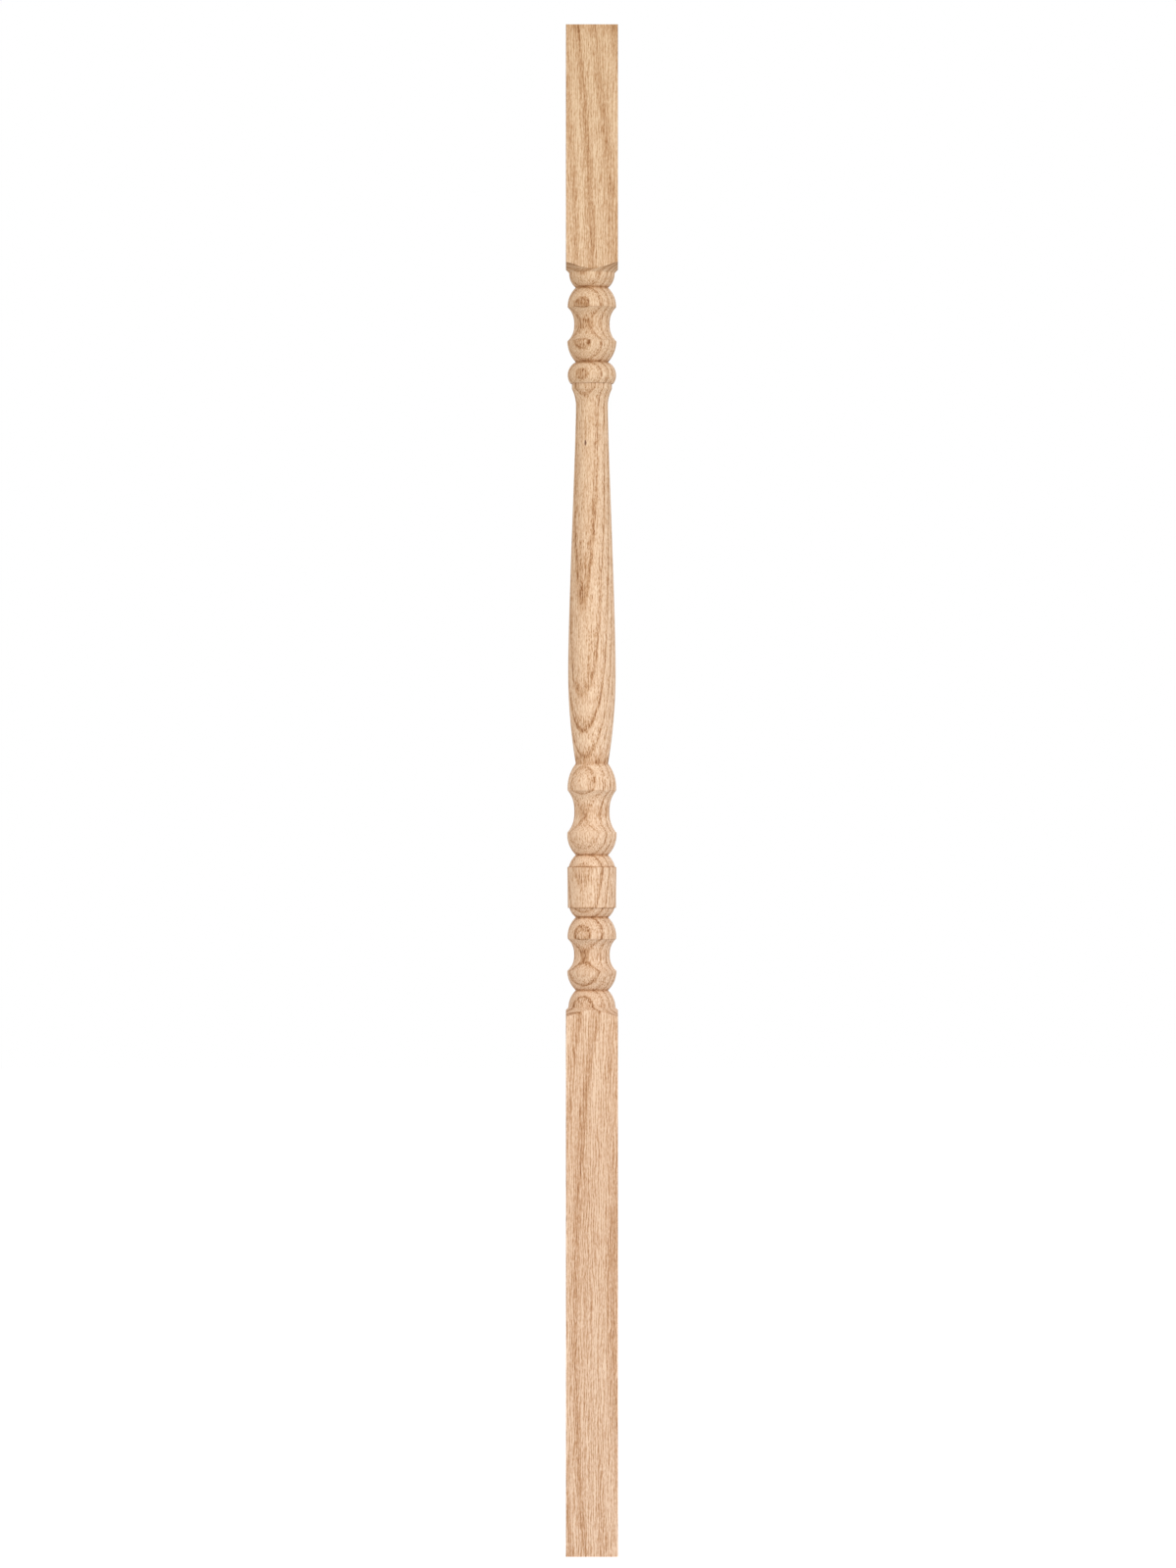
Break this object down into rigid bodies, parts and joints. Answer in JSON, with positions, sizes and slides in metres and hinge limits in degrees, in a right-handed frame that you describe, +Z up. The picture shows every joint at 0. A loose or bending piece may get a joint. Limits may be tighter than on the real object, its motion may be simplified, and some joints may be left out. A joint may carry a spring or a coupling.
{
  "type": "stair baluster",
  "caption": "Slender wooden stair baluster: a square bar turned into a long vase, spools, rings and a barrel between square end blocks, held upright between a tread or base rail and a handrail.",
  "frame": {"origin": "centre of the square bottom end, on the axis of the turning", "axes": "+Z up the axis of the turning towards the top end; the square faces lie across X and Y, with the face seen in the picture towards -Y"},
  "size_m": [0.0338, 0.0338, 0.9906],
  "materials": {
    "oak": "bare sanded oak, open grain, matt"
  },
  "bodies": {
    "root": {"baluster": "oak"}
  },
  "joints": []
}
